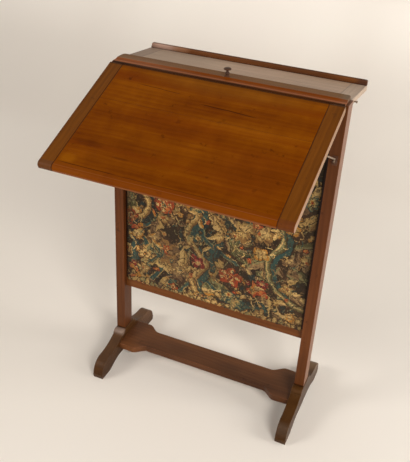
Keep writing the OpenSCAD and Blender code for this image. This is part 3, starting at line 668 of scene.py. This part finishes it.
def draw_needlework(c):
    """A dense verdure: scrolling stems, ragged leaves, flowers and buds on a dark ground."""
    rng, w, h = c.rng, c.w, c.h
    c.img[:] = GROUND
    c.paint(c.field(16) > 0.55, BARK)
    c.paint(c.field(24) > 0.68, DEEP)

    def spread(step, jitter):
        for gy in np.arange(step * 0.3, h, step):
            for gx in np.arange(step * 0.3, w, step):
                yield gx + rng.uniform(-jitter, jitter), gy + rng.uniform(-jitter, jitter)

    def pick(choices):
        return choices[rng.integers(len(choices))]

    turn = c.field(190, 1) * 720 - 160

    def flow(x, y):
        iy = int(np.clip(y / h * c.ny, 0, c.ny - 1))
        ix = int(np.clip(x / w * c.nx, 0, c.nx - 1))
        return turn[iy, ix]

    # broad soft masses behind everything
    for x, y, r, tones in (
        (0.8 * w, 0.62 * h, 62, (TAUPE, DOVE, TAUPE)),
        (0.22 * w, 0.2 * h, 56, (TAUPE, TAN, TAUPE)),
        (0.5 * w, 0.1 * h, 44, (MOSS, SAGE, MOSS)),
        (0.12 * w, 0.72 * h, 50, (SAGE, MOSS, SAGE)),
        (0.62 * w, 0.86 * h, 52, (TAUPE, DOVE, TAN)),
    ):
        c.tuft(x, y, r, tones, BARK)
    # scrolling stems from the foot of the panel
    c.stem([(0.1 * w, -10), (0.2 * w, 0.13 * h), (0.08 * w, 0.3 * h), (0.24 * w, 0.45 * h),
            (0.12 * w, 0.65 * h), (0.28 * w, 0.84 * h), (0.2 * w, 1.02 * h)], 12, TEAL, PALE)
    c.stem([(0.3 * w, 0.02 * h), (0.45 * w, 0.12 * h), (0.6 * w, 0.05 * h), (0.64 * w, 0.24 * h),
            (0.46 * w, 0.33 * h), (0.4 * w, 0.5 * h), (0.56 * w, 0.6 * h), (0.5 * w, 0.8 * h)],
           9, TEAL, SAGE)

    for x, y in spread(82, 24):
        a = flow(x, y) + rng.uniform(-40, 40)
        long = rng.uniform(70, 120)
        ca, sa = math.cos(math.radians(a)), math.sin(math.radians(a))
        c.leaf(x - ca * long / 2, y - sa * long / 2, long, rng.uniform(28, 48), a,
               rng.uniform(-0.45, 0.45), pick(LEAF_TONES), int(rng.integers(2, 7)), BARK)
    for x, y in spread(66, 24):
        if rng.random() < 0.75:
            c.tuft(x, y, rng.uniform(15, 28), pick(LEAF_TONES), pick(RIMS))
    # great limbs with teal shade beside them, and fans of leaves
    c.branch([(0.47 * w, -12), (0.39 * w, 0.1 * h), (0.46 * w, 0.21 * h), (0.35 * w, 0.33 * h),
              (0.4 * w, 0.46 * h), (0.3 * w, 0.56 * h)], 19, (TAN, PALE, CREAM), TEAL)
    c.branch([(1.02 * w, 0.1 * h), (0.86 * w, 0.16 * h), (0.78 * w, 0.3 * h), (0.86 * w, 0.43 * h),
              (0.76 * w, 0.56 * h)], 17, (MOSS, SAGE, CREAM), TEAL)
    c.branch([(0.02 * w, 0.34 * h), (0.13 * w, 0.42 * h), (0.08 * w, 0.56 * h), (0.2 * w, 0.7 * h),
              (0.14 * w, 0.88 * h)], 17, (TAN, PALE, CREAM), DEEP)
    c.branch([(0.58 * w, 0.6 * h), (0.68 * w, 0.72 * h), (0.58 * w, 0.82 * h), (0.7 * w, 0.96 * h)],
             18, (OCHRE, PALE, CREAM), TEAL)
    for x, y, middle, tones in (
        (0.6 * w, 0.31 * h, 40, (MOSS, SAGE, DOVE)), (0.2 * w, 0.17 * h, 150, (TEAL, SAGE, PALE)),
        (0.44 * w, 0.72 * h, 80, (TAN, PALE, CREAM)), (0.88 * w, 0.8 * h, 110, (DEEP, TEAL, SAGE)),
    ):
        for k in range(-2, 3):
            c.leaf(x, y, 66 - 9 * abs(k), 21, middle + 30 * k, 0.1 * k, tones, 3, BARK)
    for x, y in spread(96, 30):
        tones, heart = pick(FLOWER_TONES)
        c.flower(x, y, rng.uniform(13, 23), int(rng.integers(4, 8)), tones, heart,
                 rng.uniform(0, 6.3), rng.uniform(0.75, 1.1))
    for x, y in spread(46, 18):
        if rng.random() < 0.5:
            a = flow(x, y) + 180 * rng.integers(2) + rng.uniform(-50, 50)
            c.leaf(x, y, rng.uniform(20, 40), rng.uniform(8, 16), a, rng.uniform(-0.5, 0.5),
                   pick(LEAF_TONES)[1:])
    for x, y in spread(40, 17):
        if rng.random() < 0.3:
            c.tuft(x, y, rng.uniform(4, 9), pick(LEAF_TONES), pick((GROUND, BARK, BARK)))
    for x, y in spread(52, 22):
        if rng.random() < 0.4:
            tones, heart = pick(FLOWER_TONES)
            c.flower(x, y, rng.uniform(6, 11), 5, tones[:2], heart, rng.uniform(0, 6.3))
    # large blossoms with curled petals
    for x, y, r, tones, heart in (
        (0.6 * w, 0.18 * h, 36, (CORAL, CORAL, APRICOT, CREAM), (CRIMSON, OCHRE)),
        (0.22 * w, 0.46 * h, 30, (CORAL, APRICOT, CREAM), (TEAL, OCHRE)),
        (0.74 * w, 0.66 * h, 34, (CRIMSON, PINK, CREAM), (OCHRE, CORAL)),
        (0.36 * w, 0.88 * h, 32, (CORAL, APRICOT, CREAM), (CRIMSON, OCHRE)),
        (0.1 * w, 0.09 * h, 24, (TAN, PALE, CREAM), (CRIMSON, OCHRE)),
    ):
        c.tuft(x, y, 0.95 * r, (BARK, BARK), GROUND)
        c.flower(x, y, r, 5, tones, heart, rng.uniform(0, 6.3), 0.85)
        for k in range(5):
            a = k * 1.257 + rng.uniform(-0.3, 0.3)
            c.tuft(x + 0.62 * r * math.cos(a), y + 0.55 * r * math.sin(a), 0.2 * r,
                   (tones[0], CREAM), tones[0])
    # single threads, pale on dark and dark on pale
    for x, y in spread(13, 7):
        if rng.random() < 0.38:
            c.thread(x, y, rng.uniform(7, 24), rng.uniform(0, 360), rng.uniform(-2.6, 2.6),
                     pick(THREADS))
    # a worn pale border along the foot
    for x in np.arange(-6, w, 15):
        c.tuft(x + rng.uniform(-4, 4), rng.uniform(1, 10), rng.uniform(6, 12),
               pick(BORDER_TONES), BARK)
    # fading, soil and uneven dye, down to the single stitch
    img = c.img
    for share, tone in (
        (0.22 * np.clip(c.field(70) * 1.8 - 0.7, 0, 1), TAN),
        (0.5 * (c.field(5, 1) > 0.72), BARK),
        (0.4 * (c.field(4, 1) > 0.8), PALE),
    ):
        img = img * (1 - share[..., None]) + np.array(tone) * share[..., None]
    img *= 0.84 + 0.32 * rng.random(img.shape[:2])[..., None]
    img *= (0.66 + 0.44 * c.field(110))[..., None]
    # warmer with age, and darker along both stiles: painted shade
    img *= (1.03, 0.97, 0.88)
    x = (np.arange(c.nx) + 0.5) / c.nx * w
    img *= (0.72 + 0.28 * np.clip(np.minimum(x, w - x) / STILE_SHADE, 0, 1))[None, :, None]
    return np.clip(img, 4, 235)


# Cloth

# From its edges inward: the part turned down, the part without waves, the fray at foot and sides
TURN_DOWN, CALM_RIM, FOOT_FRAY, SIDE_FRAY = 0.004, 0.03, 0.012, 0.008
# Lumps of the waves, of the foot's line and of single threads
WAVE_LUMP, FOOT_LUMP, THREAD_LUMP = 0.06, 0.04, 0.006
# Distance from stitch to stitch and from thread to thread
STITCH, WEAVE = 0.002, 0.0009
MM = 1000


def mesh_object(name, verts, faces):
    """A smooth-shaded mesh in the scene."""
    me = bpy.data.meshes.new(name)
    me.from_pydata([tuple(v) for v in verts], [], [tuple(int(i) for i in f) for f in faces])
    me.validate()
    me.polygons.foreach_set("use_smooth", [True] * len(me.polygons))
    o = bpy.data.objects.new(name, me)
    bpy.context.scene.collection.objects.link(o)
    return o


def cloth_material(name, pitch, soil, colour=None):
    """Wool or linen: slanting stitches, fuzz and soil, over the mesh's own yarns or one colour."""
    t = Tree(bpy.data.materials.new(name))
    here = t.here()
    if colour is None:
        col = t.node("VertexColor", layer_name="yarn").outputs["Color"]
    else:
        weft = t.noise(here, (90.0, 90.0, 900.0), 2.0)
        warp = t.noise(here, (900.0, 90.0, 90.0), 2.0)
        col = t.mix(t.times(weft, 0.7), colour, toned(colour, 0.6))
        col = t.mix(t.times(warp, 0.5), col, toned(colour, 1.25))
    stain = t.noise(here, 9.0, 5.0, 0.6)
    col = t.mix(t.step(stain, 0.45, 0.75, 0.0, soil), col, lin(48, 34, 22))
    fuzz = t.noise(here, 1400.0, 2.0, 0.7)
    col = t.mix(t.times(fuzz, 0.06), col, lin(206, 184, 140))
    place = t.xyz(here)
    turns = 2 * math.pi / pitch
    slant = t.math("SINE", t.times(t.add(place["X"], place["Z"]), turns))
    row = t.math("SINE", t.times(place["Z"], turns))
    height = t.times(row, 0.7, t.times(slant, 0.8))
    t.shade({
        "Base Color": col, "Roughness": 0.95, "Specular IOR Level": 0.1,
        "Sheen Weight": 0.04, "Sheen Roughness": 0.6,
        "Normal": t.bump(t.times(fuzz, 1.2, height), 0.7),
    })
    return t.owner


def panel_cloth(name, node, nx, nz, front, seed, wave, ragged):
    """A sheet stretched over the screen's frame, its edges turned down on the wood."""
    lo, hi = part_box(node)
    rng = np.random.default_rng(seed)
    gx, gz = np.meshgrid(np.linspace(lo.x, hi.x, nx + 1), np.linspace(lo.z, hi.z, nz + 1))

    def field(size):
        return lumps(rng, gx - lo.x, gz - lo.z, hi.x - lo.x, hi.z - lo.z, size) - 0.5

    face, back = (lo.y, hi.y) if front else (hi.y, lo.y)
    from_side = np.minimum(gx - lo.x, hi.x - gx)
    inward = np.minimum(from_side, np.minimum(gz - lo.z, hi.z - gz))
    rise = np.clip(inward / TURN_DOWN, 0, 1) ** 0.6
    y = back + (face - back) * (0.1 + 0.75 * rise)
    y += field(WAVE_LUMP) * wave * np.clip(inward / CALM_RIM, 0, 1)
    fray = field(THREAD_LUMP)
    low = np.clip(1 - (gz - lo.z) / FOOT_FRAY, 0, 1)
    z = gz + low * ragged * (fray * 2 + field(FOOT_LUMP))
    x = gx + np.clip(1 - from_side / SIDE_FRAY, 0, 1) * 0.5 * ragged * fray
    verts = np.stack([x, y, z], -1).reshape(-1, 3)
    i = np.arange(nx)[None, :] + (nx + 1) * np.arange(nz)[:, None]
    quad = [i, i + 1, i + nx + 2, i + nx + 1]
    if not front:
        quad = quad[::-1]
    return mesh_object(name, verts, np.stack(quad, -1).reshape(-1, 4))


lo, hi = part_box("needlework")
PANEL_W, PANEL_H = hi.x - lo.x, hi.z - lo.z
canvas = Canvas(PANEL_W * MM, PANEL_H * MM, STITCH * MM, seed=20)
design = draw_needlework(canvas)
needlework = panel_cloth(
    "needlework_cloth", "needlework", canvas.nx, canvas.ny, front=True, seed=5,
    wave=0.0010, ragged=0.0022,
)
# one colour on all four corners of each stitch
rgba = np.ones((canvas.ny * canvas.nx, 4, 4), np.float32)
rgba[:, :, :3] = to_linear(design).reshape(-1, 1, 3)
yarn = needlework.data.color_attributes.new("yarn", "FLOAT_COLOR", "CORNER")
yarn.data.foreach_set("color", rgba.ravel())
needlework.data.materials.append(cloth_material("needlework_wool", STITCH, 0.3))
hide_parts("needlework")
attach(needlework, "screen")

lining = panel_cloth(
    "lining_cloth", "screen_lining", 90, 110, front=False, seed=9, wave=0.0008, ragged=0.0012
)
lining.data.materials.append(cloth_material("lining_linen", WEAVE, 0.35, lin(150, 128, 96)))
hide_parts("screen_lining")
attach(lining, "screen")

# Floor and backdrop: one sweep of pale paper

FLOOR_FRONT, SWEEP_FOOT, SWEEP_RADIUS, WALL_TOP, HALF_WIDTH = -6.0, 1.6, 1.2, 2.6, 7.0
profile = [(FLOOR_FRONT, 0.0), (SWEEP_FOOT, 0.0)]
profile += [
    (SWEEP_FOOT + SWEEP_RADIUS * math.sin(a), SWEEP_RADIUS - SWEEP_RADIUS * math.cos(a))
    for a in np.linspace(0.1, math.pi / 2, 14)
]
profile += [(SWEEP_FOOT + SWEEP_RADIUS, WALL_TOP)]
n = len(profile)
paper = mesh_object(
    "paper_sweep",
    [(x, y, z) for x in (-HALF_WIDTH, HALF_WIDTH) for y, z in profile],
    [(i, i + n, i + n + 1, i + 1) for i in range(n - 1)],
)
t = Tree(bpy.data.materials.new("pale_paper"))
here = t.here()
px, py, pz = t.xyz(here)
mottle = t.times(t.noise(here, 2.2, 4.0), 0.5)
near = t.mix(mottle, lin(231, 221, 206), lin(228, 214, 203))
# paler towards the right and the front: painted light
pale = t.mix(t.step(t.times(py, -0.25, px), -1.6, 1.3), near, lin(245, 237, 226))
# where the paper looks paler than the lamps make it: everywhere to the back, and place by place
glow = t.add(t.step(py, -0.2, 0.7, 0.0, 0.08), t.step(py, 2.2, 2.75, 0.0, 0.16))
for where, amount in (
    # to the left
    (t.step(t.times(py, 0.6, px), 0.35, -0.65),
     t.add(t.step(py, 0.5, 1.4, 0.1, 0.15), t.step(py, 1.2, 2.1, 0.0, -0.05))),
    # to the right
    (t.window(px, (-0.5, 0.15), (1.0, 0.6)),
     t.add(t.step(py, 1.0, 1.5, 0.0, 0.04), t.step(py, 2.35, 2.62, 0.0, 0.05))),
    # far back in the middle
    (t.window(px, (-1.85, -1.3), (-0.05, -0.45)), t.step(py, 1.9, 2.55, 0.0, 0.11)),
    # at the sides and in front, where only other views look
    (t.math("MAXIMUM", t.step(px, 0.8, 1.8), t.step(py, -1.6, -3.4, 0.0, 0.6)),
     t.step(t.vec("LENGTH", here), 1.2, 4.2, 0.0, 0.21)),
):
    glow = t.times(where, amount, glow)
# the glow ends as the sweep rises
glow = t.times(glow, t.step(pz, 0.9, 0.55))
# the paper in front, below the lamps, is painted greyer: painted shade over the lamps' pool of
# light
t.shade({
    "Base Color": t.mix(t.step(py, -0.8, -2.0), pale, lin(204, 197, 187)),
    "Emission Color": (1.0, 0.94, 0.87, 1), "Emission Strength": t.times(t.seen(), glow),
    "Roughness": 1.0, "Specular IOR Level": 0.0,
})
paper.data.materials.append(t.owner)

# Light

LAMP_WHITE = (1.0, 0.985, 0.965)


def area(name, place, at, size, power, colour):
    """A rectangular lamp at a place, turned towards a point, with its sides and its power."""
    lamp = bpy.data.lights.new(name, "AREA")
    lamp.shape, lamp.size, lamp.size_y = "RECTANGLE", size[0], size[1]
    lamp.energy, lamp.color = power, colour
    o = bpy.data.objects.new(name, lamp)
    bpy.context.scene.collection.objects.link(o)
    o.location = place
    o.visible_camera = False
    o.rotation_mode = "QUATERNION"
    o.rotation_quaternion = (Vector(at) - Vector(place)).to_track_quat("-Z", "Y")


area("softbox_right", (2.3, -2.3, 2.3), (0, 0, 0.5), (1.3, 1.3), 83, LAMP_WHITE)
area("softbox_left", (-2.4, -2.2, 2.2), (0, 0, 0.5), (1.3, 1.3), 49, LAMP_WHITE)
area("side_right", (3.0, 0.6, 1.7), (0, 0.1, 0.6), (1.2, 1.6), 42, (1.0, 0.985, 0.97))

# a dim sky, brighter towards the horizon, that looks as pale as the paper where it is seen
world = bpy.data.worlds.new("studio")
bpy.context.scene.world = world
t = Tree(world, "Background")
rise = t.xyz(t.node("TexCoord").outputs["Generated"])["Z"]
sky = t.ramp(rise, [(at, (v, v * 0.98, v * 0.96, 1)) for at, v in ((0.2, 0.5), (0.85, 0.1))])
t.shade({"Color": t.mix(t.seen(), sky, lin(226, 219, 208)), "Strength": 1.0})

# Camera at the photograph's viewpoint

AZIMUTH, ELEVATION, ROLL = math.radians(21.98), math.radians(30.97), math.radians(3.24)
EYE = (0.5707, -1.4983 + POST_Y, 1.4700)
SENSOR, LENS = 36.0, 54.37
back = Vector((
    math.sin(AZIMUTH) * math.cos(ELEVATION), -math.cos(AZIMUTH) * math.cos(ELEVATION),
    math.sin(ELEVATION),
))
right = Z.cross(back).normalized()
up = back.cross(right)
cam_x = right * math.cos(ROLL) + up * math.sin(ROLL)
cam_y = up * math.cos(ROLL) - right * math.sin(ROLL)
lens = bpy.data.cameras.new("camera")
lens.sensor_width, lens.sensor_fit, lens.lens = SENSOR, "AUTO", LENS
lens.clip_start, lens.clip_end = 0.05, 60.0
camera = bpy.data.objects.new("camera", lens)
bpy.context.scene.collection.objects.link(camera)
camera.matrix_world = Matrix((*zip(cam_x, cam_y, back, EYE), (0, 0, 0, 1)))
bpy.context.scene.camera = camera
bpy.context.scene.view_settings.view_transform = "Standard"
